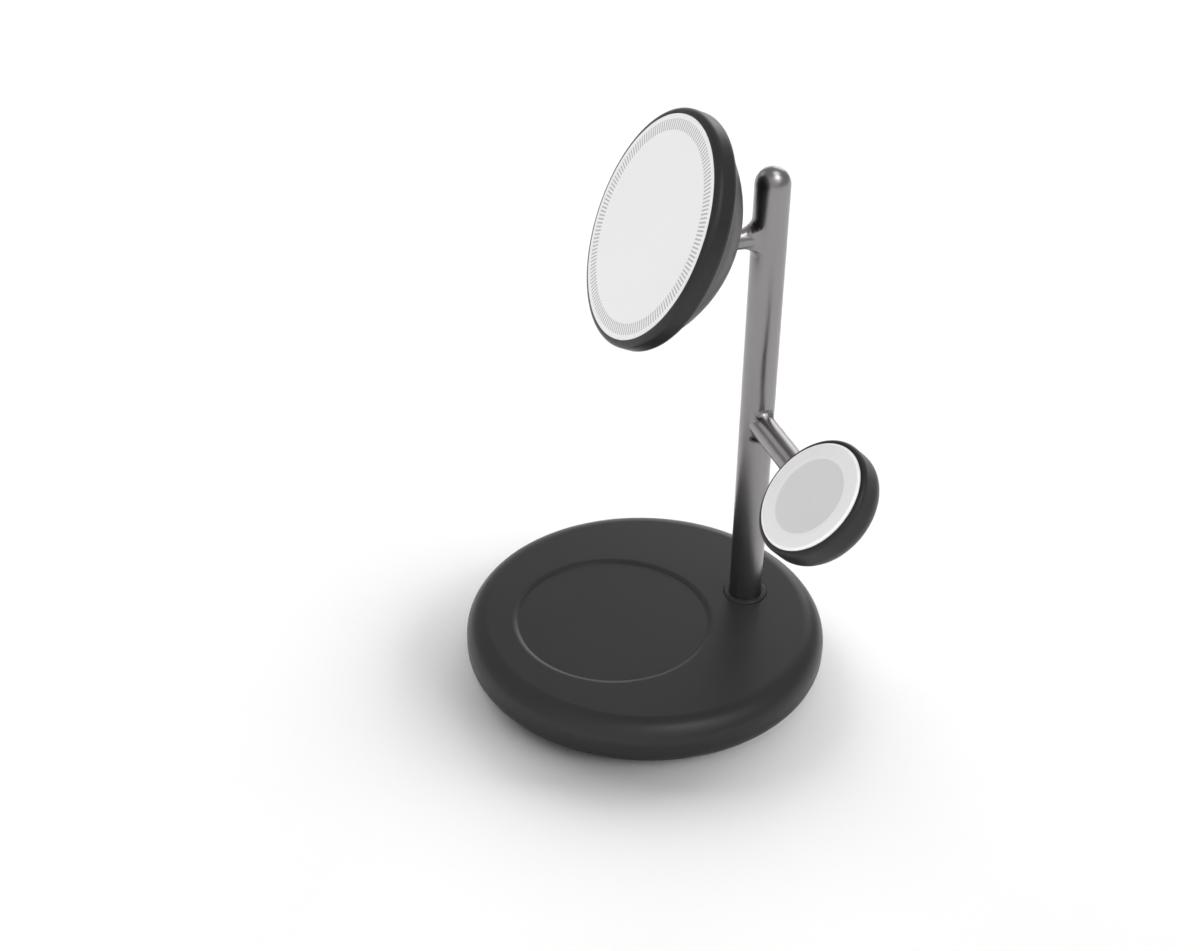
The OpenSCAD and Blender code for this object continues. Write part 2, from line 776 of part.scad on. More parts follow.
// A point of the blend: s runs from 0 on the arm to 1 on the upright tube.
// Each line of the blend is a curve that leaves along the arm and lands along the tube.
function blend_point(a, s, ra, rt, width) =
    let (
        reach = blend_reach(a, ra, rt, width),
        r2 = ra + reach,
        w2 = sqrt(rt * rt - pow(r2 * sin(a), 2)),
        wc = w2 + reach * r2 * pow(sin(a), 2) / w2,
        r = pow(1 - s, 2) * (ra - blend_sink) + 2 * s * (1 - s) * ra + s * s * r2,
        w = pow(1 - s, 2) * (wc + reach) + 2 * s * (1 - s) * wc + s * s * (w2 - blend_sink)
    )
    [w, r * sin(a), r * cos(a)];

// The blend round an arm along +X that leaves an upright tube
module arm_blend(ra, rt, width) {
    n = blend_sides;
    m = blend_rings;
    grid = [for (j = [0:m], i = [0:n - 1]) blend_point(360 * i / n, j / m, ra, rt, width)];
    ends = [[rt + width, 0, 0], [0, 0, 0]];
    sides = [for (j = [0:m - 1], i = [0:n - 1])
        each [[j * n + i, (j + 1) * n + i, j * n + (i + 1) % n],
              [j * n + (i + 1) % n, (j + 1) * n + i, (j + 1) * n + (i + 1) % n]]];
    caps = [for (i = [0:n - 1])
        each [[i, (i + 1) % n, (m + 1) * n],
              [m * n + (i + 1) % n, m * n + i, (m + 1) * n + 1]]];
    polyhedron(points = concat(grid, ends), faces = concat(sides, caps), convexity = 4);
}

module phone_arm() {
    rotate([90, 0, 0]) rotate_extrude() domed_section(phone_arm_d / 2, 0, phone_arm_l + phone_arm_d / 2);
    rotate([0, 0, -90]) arm_blend(phone_arm_d / 2, stem_r, phone_blend);
}

// The watch arm, with the lug on its end that stops the disc at both ends of its tilt
module watch_arm() {
    end = watch_arm_reach - watch_arm_stop;
    bar_x(watch_arm_d, 0, end);
    intersection() {
        bar_x(watch_arm_d, end - 1, end + stop_l);
        translate([end - 1, -stop_w / 2, stop_inner]) cube([stop_l + 2, stop_w, watch_arm_d]);
    }
    arm_blend(watch_arm_d / 2, stem_r, watch_blend);
}

module stem() {
    color(steel) {
        translate([0, stem_back, 0]) {
            difference() {
                union() {
                    rotate_extrude() domed_section(stem_r, seat_z, stem_top);
                    translate([0, 0, spigot_z]) cylinder(d = spigot_d, h = seat_z - spigot_z + eps);
                    translate([0, 0, phone_arm_z]) phone_arm();
                    translate([0, 0, watch_arm_z]) watch_arm();
                }
                translate([0, 0, spigot_z - 1]) {
                    cylinder(d = stem_bore_d, h = phone_arm_z + phone_arm_d / 2 - spigot_z + 1);
                }
                translate([0, 0, phone_arm_z]) {
                    rotate([90, 0, 0]) cylinder(d = phone_bore_d, h = phone_arm_l + phone_arm_d);
                    translate([0, -phone_arm_l, 0]) bar_x(pin_d, -phone_arm_d, phone_arm_d);
                }
                translate([0, 0, watch_arm_z]) {
                    bar_x(watch_bore_d, 0, watch_arm_reach);
                    bar_x(spindle_d, watch_arm_reach - watch_arm_stop - spindle_grip, watch_arm_reach);
                }
            }
        }
    }
}

module stem_collar() {
    color(black) {
        translate([0, stem_back, 0]) {
            difference() {
                rotate_extrude() rounded_section(collar_d / 2, seat_z, seat_z + collar_h, 0, collar_round);
                translate([0, 0, seat_z - 1]) cylinder(r = stem_r + collar_gap, h = collar_h + 2);
            }
        }
    }
}

module stem_plate() {
    color(steel) {
        translate([0, stem_back, 0]) ring(plate_d, spigot_d, plate_z, ceiling_z);
    }
}

module stem_washer() {
    color(steel) {
        translate([0, stem_back, 0]) ring(washer_d, spigot_d, washer_z, plate_z);
    }
}

module stem_nut() {
    color(steel) {
        translate([0, stem_back, nut_z]) {
            difference() {
                cylinder(d = nut_corners, h = nut_t, $fn = 6);
                translate([0, 0, -1]) cylinder(d = spigot_d, h = nut_t + 2);
            }
        }
    }
}

// A quarter bend of a lead in the YZ plane: it comes up at y = bend and leaves along -Y at z = bend
module lead_quarter(bend) {
    intersection() {
        rotate([0, 90, 0]) rotate_extrude() translate([bend, 0]) circle(d = lead_d, $fn = 32);
        translate([-lead_d, 0, 0]) cube([2 * lead_d, bend + lead_d, bend + lead_d]);
    }
}

module phone_lead() {
    color([0.1, 0.1, 0.1]) {
        translate([0, stem_back + phone_lead_back, spigot_z]) {
            cylinder(d = lead_d, h = phone_arm_z - lead_bend - spigot_z, $fn = 32);
        }
        translate([0, stem_back + phone_lead_back - lead_bend, phone_arm_z - lead_bend]) {
            lead_quarter(lead_bend);
        }
        translate([0, stem_back + phone_lead_back - lead_bend, phone_arm_z]) {
            rotate([90, 0, 0]) {
                cylinder(d = lead_d, h = phone_arm_l + phone_lead_back - lead_bend + phone_lead_past,
                         $fn = 32);
            }
        }
    }
}

module watch_lead() {
    color([0.1, 0.1, 0.1]) {
        translate([-watch_lead_left, stem_back, spigot_z]) {
            cylinder(d = lead_d, h = watch_arm_z - lead_bend - spigot_z, $fn = 32);
        }
        translate([lead_bend - watch_lead_left, stem_back, watch_arm_z - lead_bend]) {
            rotate([0, 0, 90]) lead_quarter(lead_bend);
        }
        translate([lead_bend - watch_lead_left, stem_back, watch_arm_z]) {
            rotate([0, 90, 0]) {
                cylinder(d = lead_d, $fn = 32,
                    h = watch_arm_reach + spindle_past + watch_lead_past - lead_bend + watch_lead_left);
            }
        }
    }
}

module phone_pin(side) {
    color(steel) {
        translate([0, phone_pivot_y, phone_arm_z]) {
            bar_x(pin_d, side > 0 ? pin_start : -lug_end, side > 0 ? lug_end : -pin_start);
        }
    }
}

// Phone disc, each piece with its face at 0 and its depth below

module phone_bezel() {
    color(black) {
        on_phone_head() {
            difference() {
                rotate_extrude() {
                    rounded_section(phone_r, bezel_back, 0, bezel_rear_round, bezel_front_round);
                }
                disc(phone_pad_d + 2 * pad_gap, pad_back, 1);
                disc(bezel_bore, lip_front, 1);
                disc(bezel_lip_bore, bezel_back - 1, 1);
            }
        }
    }
}

module phone_pad() {
    color(white) on_phone_head() disc(phone_pad_d, pad_back, 0);
}

// The space that the arm needs in the domed back, over the whole tilt
module tilt_slot() {
    reach = 2 * phone_pivot_in + slot_r;
    translate([0, 0, -phone_pivot_depth]) {
        for (t = [phone_tilt_min, phone_tilt_max]) {
            rotate([180 + t, 0, 0]) cylinder(r = slot_r, h = reach);
        }
        rotate([90, 0, 90]) {
            translate([0, 0, -slot_side]) {
                linear_extrude(2 * slot_side) {
                    polygon([[0, 0],
                        for (k = [0:4])
                            let (t = phone_tilt_min + (phone_tilt_max - phone_tilt_min) * k / 4)
                            [reach * sin(t), -reach * cos(t)]]);
                }
            }
        }
    }
}

module pin_lug(side) {
    start = side > 0 ? lug_start : -lug_end;
    translate([0, 0, -phone_pivot_depth]) {
        bar_x(lug_d, start, start + lug_w);
        translate([start, -lug_d / 2, -phone_pivot_depth]) cube([lug_w, lug_d, phone_pivot_depth]);
    }
}

module phone_back() {
    color(black) {
        on_phone_head() {
            difference() {
                union() {
                    difference() {
                        translate([0, 0, dome_front]) sphere(dome_r);
                        translate([0, 0, dome_front]) sphere(dome_r - dome_wall);
                    }
                    intersection() {
                        translate([0, 0, dome_front]) sphere(dome_r - dome_wall / 2);
                        union() {
                            pin_lug(1);
                            pin_lug(-1);
                            for (k = [1:4]) {
                                at_corner(k, phone_screw_ring) disc(phone_boss_d, -phone_r, bezel_back);
                            }
                        }
                    }
                }
                disc(3 * phone_d, bezel_back, 2 * phone_d);
                tilt_slot();
                bar_x(pin_d + 2 * pivot_gap, -lug_end - 1, lug_end + 1, -phone_pivot_depth);
                for (k = [1:4]) {
                    at_corner(k, phone_screw_ring)
                        disc(phone_screw_d, bezel_back - phone_screw_l - screw_room, 1);
                }
            }
        }
    }
}

module phone_carrier() {
    color([0.3, 0.3, 0.31]) {
        on_phone_head() {
            difference() {
                union() {
                    disc(bezel_bore - 2 * carrier_gap, lip_front, magnet_back);
                    disc(bezel_lip_bore - 2 * carrier_gap, bezel_back, lip_front + eps);
                }
                for (k = [1:4]) {
                    at_corner(k, phone_screw_ring) {
                        translate([0, 0, magnet_back - phone_head_t]) {
                            cylinder(d1 = phone_screw_d, d2 = phone_head_d, h = phone_head_t);
                        }
                        disc(phone_screw_d, bezel_back - 1, 0);
                        disc(phone_head_d, magnet_back - eps, 0);
                    }
                }
                disc(phone_lead_hole, bezel_back - 1, 0);
            }
        }
    }
}

module phone_magnets() {
    color([0.7, 0.7, 0.72]) {
        on_phone_head() {
            difference() {
                ring(magnet_ring_d, magnet_ring_bore, magnet_back, pad_back);
                for (k = [0:magnet_count - 1]) {
                    rotate([0, 0, 360 * k / magnet_count]) {
                        translate([0, -magnet_gap / 2, magnet_back - 1]) {
                            cube([magnet_ring_d, magnet_gap, magnet_t + 2]);
                        }
                    }
                }
            }
        }
    }
}

module phone_coil() {
    color(copper) {
        on_phone_head() ring(phone_coil_d, phone_coil_hole, phone_coil_back, pad_back);
    }
}

module phone_ferrite() {
    color(ferrite) on_phone_head() disc(phone_ferrite_d, magnet_back, phone_coil_back);
}

module phone_board() {
    color(green) on_phone_head() ring(phone_board_d, phone_lead_hole, bezel_back - phone_board_t, bezel_back);
}

module phone_screw(number) {
    color(steel) {
        on_phone_head() {
            at_corner(number, phone_screw_ring) {
                translate([0, 0, magnet_back]) {
                    mirror([0, 0, 1]) {
                        countersunk_screw(phone_head_d, phone_screw_d, phone_head_t,
                            magnet_back - phone_head_t - bezel_back + phone_screw_l);
                    }
                }
            }
        }
    }
}

// Watch disc, each piece with the housing's front edge at 0 and its depth below

module watch_outer_section() {
    rounded_section(watch_r, -watch_straight - watch_rear_round, 0, watch_rear_round, watch_front_round);
    intersection() {
        translate([0, watch_dome_front]) circle(watch_dome_r, $fn = 192);
        translate([0, -watch_dome_r]) square([watch_dome_rim_r, watch_dome_r - watch_straight]);
    }
}

module watch_hollow_section() {
    translate([0, watch_board_back]) square([watch_bore / 2, -watch_board_back + 1]);
    intersection() {
        translate([0, watch_dome_front]) circle(watch_dome_r - watch_dome_wall, $fn = 192);
        translate([0, -watch_dome_r]) square([watch_inner_bore / 2, watch_dome_r + watch_board_back + eps]);
    }
}

// The room in the housing for the stop lug, over the whole tilt
module stop_groove() {
    from = watch_tilt_min - stop_slack;
    to = watch_tilt_max + stop_slack;
    intersection() {
        bar_x(watch_arm_d + 2 * arm_gap, -watch_arm_stop - 1, stop_l + end_play - watch_arm_stop,
            -watch_pivot_depth);
        translate([-watch_arm_stop - 2, 0, -watch_pivot_depth]) {
            rotate([90, 0, 90]) {
                linear_extrude(stop_l + 4) {
                    polygon([[0, 0],
                        for (k = [0:8])
                            let (a = from + (to - from) * k / 8)
                            [watch_d * cos(a), watch_d * sin(a)]]);
                }
            }
        }
    }
}

module watch_housing() {
    color(black) {
        on_watch_head() {
            difference() {
                rotate_extrude() watch_outer_section();
                difference() {
                    rotate_extrude() watch_hollow_section();
                    translate([-watch_r, -block_half_w, -watch_dome_r]) {
                        cube([watch_r + block_end, 2 * block_half_w, watch_dome_r + block_top]);
                    }
                }
                disc(puck_d + 2 * puck_gap, -puck_seat, 1);
                bar_x(spindle_d + 2 * pivot_gap, -watch_r, block_end + eps, -watch_pivot_depth);
                bar_x(watch_arm_d + 2 * arm_gap, -watch_d, end_play - watch_arm_stop, -watch_pivot_depth);
                stop_groove();
                translate([keeper_x - keeper_t / 2, -keeper_w / 2, -watch_pivot_depth - groove_d / 2]) {
                    cube([keeper_t, keeper_w, watch_pivot_depth]);
                }
            }
        }
    }
}

module watch_puck() {
    color(white) {
        on_watch_head() {
            difference() {
                rotate_extrude() rounded_section(puck_d / 2, -puck_seat, puck_proud, 0, puck_round);
                translate([0, 0, puck_proud - dish_depth + dish_sphere_r]) sphere(dish_sphere_r, $fn = 192);
            }
        }
    }
}

module watch_coil() {
    color(copper) on_watch_head() ring(watch_coil_d, watch_coil_hole, watch_coil_back, -puck_seat);
}

module watch_magnet() {
    color([0.7, 0.7, 0.72]) on_watch_head() disc(watch_magnet_d, watch_coil_back, -puck_seat);
}

module watch_ferrite() {
    color(ferrite) on_watch_head() disc(watch_ferrite_d, watch_ferrite_back, watch_coil_back);
}

module watch_board() {
    color(green) {
        on_watch_head() {
            disc(watch_board_d, watch_board_back, watch_ferrite_back);
            for (side = [-1, 1]) {
                translate([-block_half_w, side * watch_chip_off - watch_chip_w / 2,
                        watch_board_back - watch_chip_t]) {
                    cube([watch_chip_l, watch_chip_w, watch_chip_t + eps]);
                }
            }
        }
    }
}

module watch_spindle() {
    start = watch_arm_reach - watch_arm_stop - spindle_grip;
    color(steel) {
        translate([0, stem_back, watch_arm_z]) {
            difference() {
                bar_x(spindle_d, start, watch_arm_reach + spindle_past);
                bar_x(spindle_bore_d, start - 1, watch_arm_reach + spindle_past + 1);
                translate([watch_arm_reach + keeper_x, 0, 0]) {
                    difference() {
                        bar_x(spindle_d + 1, -groove_w / 2, groove_w / 2);
                        bar_x(groove_d, -groove_w, groove_w);
                    }
                }
            }
        }
    }
}

module watch_keeper() {
    color([0.75, 0.75, 0.74]) {
        on_watch_head() {
            difference() {
                translate([keeper_x - keeper_t / 2, -keeper_w / 2, -watch_pivot_depth - groove_d / 2]) {
                    cube([keeper_t, keeper_w, watch_pivot_depth + groove_d / 2 + block_top]);
                }
                bar_x(groove_d + 2 * pivot_gap, keeper_x - 1, keeper_x + 1, -watch_pivot_depth);
                translate([keeper_x - 1, -groove_d / 2 - pivot_gap, -2 * watch_pivot_depth]) {
                    cube([2, groove_d + 2 * pivot_gap, watch_pivot_depth]);
                }
            }
        }
    }
}

base_shell();
bottom_cover();
foot_pad();
ballast_plate();
cover_screw(1);  // cover_screw_1
cover_screw(2);  // cover_screw_2
cover_screw(3);  // cover_screw_3
cover_screw(4);  // cover_screw_4
main_board();
board_chips();
board_screw(1);  // board_screw_1
board_screw(2);  // board_screw_2
board_screw(3);  // board_screw_3
board_screw(4);  // board_screw_4
usb_shell();
usb_tongue();
earbud_coil();
earbud_ferrite();
stem();
stem_collar();
stem_plate();
stem_washer();
stem_nut();
phone_lead();
watch_lead();
phone_pin(-1);  // phone_pin_left
phone_pin(1);  // phone_pin_right
watch_spindle();
phone_bezel();
phone_pad();
phone_back();
phone_carrier();
phone_magnets();
phone_coil();
phone_ferrite();
phone_board();
phone_screw(1);  // phone_screw_1
phone_screw(2);  // phone_screw_2
phone_screw(3);  // phone_screw_3
phone_screw(4);  // phone_screw_4
watch_housing();
watch_puck();
watch_coil();
watch_magnet();
watch_ferrite();
watch_board();
watch_keeper();
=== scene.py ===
"""Looks of the three-in-one wireless charger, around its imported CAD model.

Metres. +Z is up, the front is towards -Y, and the origin is the middle of the foot pad on the floor.
"""
import json
import math

import bmesh
import bpy
from mathutils import Matrix, Vector


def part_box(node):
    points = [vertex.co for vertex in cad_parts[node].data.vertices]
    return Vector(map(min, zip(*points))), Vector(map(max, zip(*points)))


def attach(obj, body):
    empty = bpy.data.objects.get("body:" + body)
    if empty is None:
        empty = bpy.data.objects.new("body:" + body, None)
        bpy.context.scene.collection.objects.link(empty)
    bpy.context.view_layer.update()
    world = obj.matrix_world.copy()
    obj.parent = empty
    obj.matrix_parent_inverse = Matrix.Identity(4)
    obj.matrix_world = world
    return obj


MM = 0.001

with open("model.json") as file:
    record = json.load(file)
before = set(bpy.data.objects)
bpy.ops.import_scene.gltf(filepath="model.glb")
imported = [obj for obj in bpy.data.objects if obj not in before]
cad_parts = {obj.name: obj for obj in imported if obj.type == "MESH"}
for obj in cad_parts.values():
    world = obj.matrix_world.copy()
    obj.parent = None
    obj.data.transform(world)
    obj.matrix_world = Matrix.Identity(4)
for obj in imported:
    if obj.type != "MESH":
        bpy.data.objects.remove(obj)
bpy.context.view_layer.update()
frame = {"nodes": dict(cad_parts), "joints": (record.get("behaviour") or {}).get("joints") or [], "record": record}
nodes = frame["nodes"]
scene = bpy.context.scene


# Colours as linear RGB. Where there are two, the finish wanders from the first to the second.

BASE_BLACK = (0.023, 0.023, 0.0235)
HEAD_BLACK = (0.019, 0.019, 0.0195)
CARRIER_GREY = (0.11, 0.11, 0.115)
RUBBER = (0.018, 0.018, 0.018), (0.035, 0.034, 0.033)
STEM_STEEL = (0.265, 0.254, 0.2565), (0.30, 0.288, 0.291)
ZINC = (0.55, 0.55, 0.56)
SCREW_BLACK = (0.12, 0.12, 0.125)
SOCKET_STEEL = (0.7, 0.7, 0.69)
NICKEL = (0.66, 0.64, 0.6)
SOLDER_MASK = (0.012, 0.075, 0.03), (0.025, 0.13, 0.05)
RESIN = (0.012, 0.012, 0.013), (0.022, 0.022, 0.023)
COPPER = (0.55, 0.2, 0.08), (0.72, 0.32, 0.13)
FERRITE = (0.05, 0.046, 0.045), (0.03, 0.028, 0.028)
SHEATH = (0.014, 0.014, 0.015), (0.024, 0.024, 0.025)
PAD_WHITE = (0.775, 0.776, 0.78), (0.8, 0.8, 0.802)
PUCK_HOLLOW = (0.62, 0.62, 0.622)
PUCK_RIM = (0.755, 0.755, 0.757)
# Paler colour of the puck's lip: a painted highlight of its bevel
PUCK_LIP_HIGHLIGHT = (0.9, 0.9, 0.9)
TICK_GREY = (0.40, 0.402, 0.405), (0.44, 0.442, 0.445)
GOLD = (0.75, 0.5, 0.16), (0.85, 0.6, 0.22)
FLOOR_WHITE = (0.9, 0.9, 0.9)


# Nodes and their maths

class Wire:
    """A node's output. Adding, multiplying and so on adds Math nodes."""

    def __init__(self, maker, socket):
        self.maker = maker
        self.socket = socket

    def math(self, operation, *values):
        return self.maker.node("ShaderNodeMath", {"operation": operation}, dict(enumerate(values)))

    def __add__(self, other):
        return self.math("ADD", self, other)

    def __radd__(self, other):
        return self.math("ADD", other, self)

    def __sub__(self, other):
        return self.math("SUBTRACT", self, other)

    def __rsub__(self, other):
        return self.math("SUBTRACT", other, self)

    def __mul__(self, other):
        return self.math("MULTIPLY", self, other)

    def __rmul__(self, other):
        return self.math("MULTIPLY", other, self)

    def __truediv__(self, other):
        return self.math("DIVIDE", self, other)

    def root(self):
        return self.math("SQRT", self)

    def waves(self, pitch):
        """A sine wave that repeats after each pitch."""
        return self.math("SINE", self * (math.tau / pitch))

    def between(self, low, high):
        """0 below low, 1 above high, and a smooth step from one to the other."""
        return self.maker.node("ShaderNodeMapRange", {"interpolation_type": "SMOOTHSTEP"},
                               {"Value": self, "From Min": low, "From Max": high}, "Result")


class Maker:
    """Adds nodes to a tree."""

    def __init__(self, tree):
        self.tree = tree

    def node(self, kind, settings, sockets, output=0):
        """Any node: its settings first, then the values or links of its inputs, by name or by place."""
        step = self.tree.nodes.new(kind)
        for name, value in settings.items():
            setattr(step, name, value)
        for key, value in sockets.items():
            if isinstance(value, Wire):
                self.tree.links.new(value.socket, step.inputs[key])
            else:
                step.inputs[key].default_value = value
        return Wire(self, step.outputs[output]) if step.outputs else None

    def ray(self, kind):
        """1 for a ray of this kind, or else 0."""
        return self.node("ShaderNodeLightPath", {}, {}, f"Is {kind} Ray")


# The noise of a fine grain, and the value that every noise sways about
GRAINY = {"detail": 3.0, "roughness": 0.6}
NOISE_MIDDLE = 0.5
# Places of the colours among a Mix node's inputs and outputs
MIX_FIRST = 6
MIX_SECOND = 7
MIX_RESULT = 2


class Finish(Maker):
    """One material, with the nodes that feed its shader."""

    def __init__(self, name):
        self.material = bpy.data.materials.new(name)
        self.material.use_nodes = True
        super().__init__(self.material.node_tree)
        self.tree.nodes.clear()

    def place(self, centre=(0, 0, 0), turn=(0, 0, 0)):
        """Object coordinates, counted from a centre and turned to a piece's own axes."""
        point = self.node("ShaderNodeTexCoord", {}, {}, "Object")
        return self.node("ShaderNodeMapping", {"vector_type": "TEXTURE"},
                         {"Vector": point, "Location": centre, "Rotation": turn})

    def flat(self, point):
        """X and Y of a point."""
        return [self.node("ShaderNodeSeparateXYZ", {}, {"Vector": point}, axis) for axis in "XY"]

    def from_axis(self, centre, turn):
        """The distance from a disc's own axis."""
        across, along = self.flat(self.place(centre, turn))
        return (across * across + along * along).root()

    def noise(self, point, size, detail=2.0, roughness=0.5, stretch=(1, 1, 1)):
        """Noise whose spots are about size metres across, from 0 to 1."""
        point = self.node("ShaderNodeVectorMath", {"operation": "MULTIPLY"}, {0: point, 1: stretch})
        return self.node("ShaderNodeTexNoise", {},
                         {"Vector": point, "Scale": 1 / size, "Detail": detail, "Roughness": roughness})

    def blend(self, factor, first, second):
        """A colour between two colours, each an RGB value or a wire."""
        sockets = {0: factor}
        for place, colour in ((MIX_FIRST, first), (MIX_SECOND, second)):
            sockets[place] = colour if isinstance(colour, Wire) else (*colour, 1)
        return self.node("ShaderNodeMix", {"data_type": "RGBA"}, sockets, MIX_RESULT)

    def bump(self, height, depth):
        """Raises the surface by height times depth metres."""
        return self.node("ShaderNodeBump", {}, {"Height": height, "Distance": depth, "Strength": 1.0})

    def end(self, shader):
        """Puts a shader on the surface and gives the material."""
        self.node("ShaderNodeOutputMaterial", {}, {"Surface": shader})
        return self.material

    def dress(self, sockets):
        """Ends the material in a Principled shader with these inputs."""
        return self.end(self.node("ShaderNodeBsdfPrincipled", {}, sockets))


def around(level, *sways):
    """A level that sways with each noise, by as much as the number before that noise."""
    for amount, noise in sways:
        level = level + amount * (noise - NOISE_MIDDLE)
    return level


def shade(colour, level):
    """A colour made darker or paler."""
    return tuple(level * part for part in colour)


# Finishes

def moulded_black(name, colour, roughness, grain):
    """Satin black plastic with the fine spark texture of its mould and a few rubbed places."""
    finish = Finish(name)
    point = finish.place()
    fine = finish.noise(point, grain, **GRAINY)
    cloud = finish.noise(point, 21 * MM, detail=3.0, roughness=0.55)
    rubbed = finish.noise(point, 6 * MM, detail=4.0, roughness=0.6).between(0.6, 0.85)
    return finish.dress({
        "Base Color": finish.blend(cloud, shade(colour, 0.94), shade(colour, 1.06)),
        "Roughness": around(roughness, (0.06, cloud), (0.05, fine)) - 0.04 * rubbed,
        "Normal": finish.bump(fine, depth=0.012 * MM),
        "Specular IOR Level": 0.3,
    })


def foot_rubber():
    """Matt rubber with a faint moulded weave."""
    finish = Finish("foot_rubber")
    point = finish.place()
    across, along = finish.flat(point)
    pitch = 1.2 * MM
    weave = across.waves(pitch) * along.waves(pitch)
    dust = finish.noise(point, 9 * MM, detail=5.0, roughness=0.65)
    return finish.dress({
        "Base Color": finish.blend(dust.between(0.45, 0.8), *RUBBER),
        "Roughness": around(0.78, (0.12, dust)),
        "Normal": finish.bump(weave, depth=0.03 * MM),
        "Specular IOR Level": 0.2,
    })


def stem_steel():
    """Satin steel, polished along the tube, with faint long marks."""
    finish = Finish("stem_steel")
    point = finish.place()
    mark = 0.3 * MM
    up_the_stem = finish.noise(point, mark, **GRAINY, stretch=(1, 1, 0.02))
    along_the_arms = finish.noise(point, mark, **GRAINY, stretch=(0.03, 0.03, 1))
    cloud = finish.noise(point, 14 * MM)
    return finish.dress({
        "Base Color": finish.blend(cloud, *STEM_STEEL),
        "Metallic": 1.0,
        "Roughness": around(0.29, (0.05, cloud), (0.05, up_the_stem), (0.03, along_the_arms)),
        "Normal": finish.bump(up_the_stem, depth=0.0012 * MM),
    })


def plated_steel(name, colour, roughness):
    """Plated steel of hidden hardware, a little uneven."""
    finish = Finish(name)
    point = finish.place()
    cloud = finish.noise(point, 4 * MM, **GRAINY)
    marks = finish.noise(point, 0.4 * MM, stretch=(1, 0.1, 1))
    return finish.dress({
        "Base Color": finish.blend(cloud, shade(colour, 0.85), colour),
        "Metallic": 1.0,
        "Roughness": around(roughness, (0.1, cloud), (0.08, marks)),
        "Normal": finish.bump(marks, depth=0.004 * MM),
    })


def board_mask():
    """Green solder mask with its tracks showing through."""
    finish = Finish("board_mask")
    point = finish.place()
    across, along = finish.flat(point)
    tracks = (across + 0.3 * along).waves(1.6 * MM).between(0.5, 0.7)
    glass = finish.noise(point, 0.6 * MM)
    return finish.dress({
        "Base Color": finish.blend(tracks, *SOLDER_MASK),
        "Roughness": 0.32 + 0.1 * glass,
        "Normal": finish.bump(tracks, depth=0.03 * MM),
        "Specular IOR Level": 0.5,
    })


def chip_resin():
    """Moulded black resin of chips and the socket's tongue."""
    finish = Finish("chip_resin")
    fine = finish.noise(finish.place(), 0.2 * MM, detail=2.0, roughness=0.6)
    return finish.dress({
        "Base Color": finish.blend(fine, *RESIN),
        "Roughness": around(0.5, (0.15, fine)),
        "Normal": finish.bump(fine, depth=0.01 * MM),
        "Specular IOR Level": 0.4,
    })


def wound_copper(name, centre, turn, pitch):
    """Enamelled copper wire, wound round one axis in turns a pitch apart."""
    finish = Finish(name)
    turns = finish.from_axis(centre, turn).waves(pitch)
    patch = finish.noise(finish.place(), 3 * MM)
    return finish.dress({
        "Base Color": finish.blend(patch, *COPPER),
        "Metallic": 1.0,
        "Roughness": around(0.3, (0.1, patch)),
        "Normal": finish.bump(turns, depth=0.08 * MM),
        "Coat Weight": 0.6,
    })


def ferrite_plate():
    """Sintered ferrite, dull with small pits."""
    finish = Finish("ferrite_plate")
    pits = finish.noise(finish.place(), 0.8 * MM, detail=4.0, roughness=0.7).between(0.55, 0.75)
    return finish.dress({
        "Base Color": finish.blend(pits, *FERRITE),
        "Roughness": 0.6 + 0.2 * pits,
        "Normal": finish.bump(1 - pits, depth=0.03 * MM),
        "Specular IOR Level": 0.35,
    })


def lead_sheath():
    """Soft black sheath of the inner leads."""
    finish = Finish("lead_sheath")
    fine = finish.noise(finish.place(), 0.7 * MM, **GRAINY)
    return finish.dress({
        "Base Color": finish.blend(fine, *SHEATH),
        "Roughness": around(0.55, (0.1, fine)),
        "Normal": finish.bump(fine, depth=0.01 * MM),
        "Specular IOR Level": 0.3,
    })


def white_pad():
    """The phone pad's soft white surface, with a fine even tooth."""
    finish = Finish("white_pad")
    point = finish.place()
    tooth = finish.noise(point, 0.35 * MM, **GRAINY)
    cloud = finish.noise(point, 30 * MM)
    return finish.dress({
        "Base Color": finish.blend(cloud, *PAD_WHITE),
        "Roughness": around(0.5, (0.06, tooth), (0.05, cloud)),
        "Normal": finish.bump(tooth, depth=0.006 * MM),
        "Specular IOR Level": 0.35,
    })


def white_puck(centre, turn):
    """The watch puck: a slightly greyer hollow, a white rim and a smoother lip, painted paler as a highlight."""
    finish = Finish("white_puck")
    radius = finish.from_axis(centre, turn)
    tooth = finish.noise(finish.place(), 0.3 * MM, **GRAINY)
    rim = radius.between(10.0 * MM, 10.4 * MM)
    # The lip band carries a painted highlight: its colour is paler, and its roughness is lower
    lip_highlight_band = radius.between(13.9 * MM, 14.2 * MM)
    return finish.dress({
        "Base Color": finish.blend(lip_highlight_band, finish.blend(rim, PUCK_HOLLOW, PUCK_RIM), PUCK_LIP_HIGHLIGHT),
        "Roughness": around(0.42 - 0.12 * rim - 0.1 * lip_highlight_band, (0.04, tooth)),
        "Normal": finish.bump(tooth, depth=0.004 * MM),
        "Specular IOR Level": 0.4,
    })


def tick_print():
    """The grey print of the ticks."""
    finish = Finish("tick_print")
    fine = finish.noise(finish.place(), 0.3 * MM)
    return finish.dress({
        "Base Color": finish.blend(fine, *TICK_GREY),
        "Roughness": around(0.5, (0.05, fine)),
        "Specular IOR Level": 0.35,
    })


def contact_gold():
    """Gold plating of the socket's contacts."""
    finish = Finish("contact_gold")
    fine = finish.noise(finish.place(), 0.2 * MM)
    return finish.dress({
        "Base Color": finish.blend(fine, *GOLD),
        "Metallic": 1.0,
        "Roughness": around(0.25, (0.1, fine)),
    })


# Places that the record gives

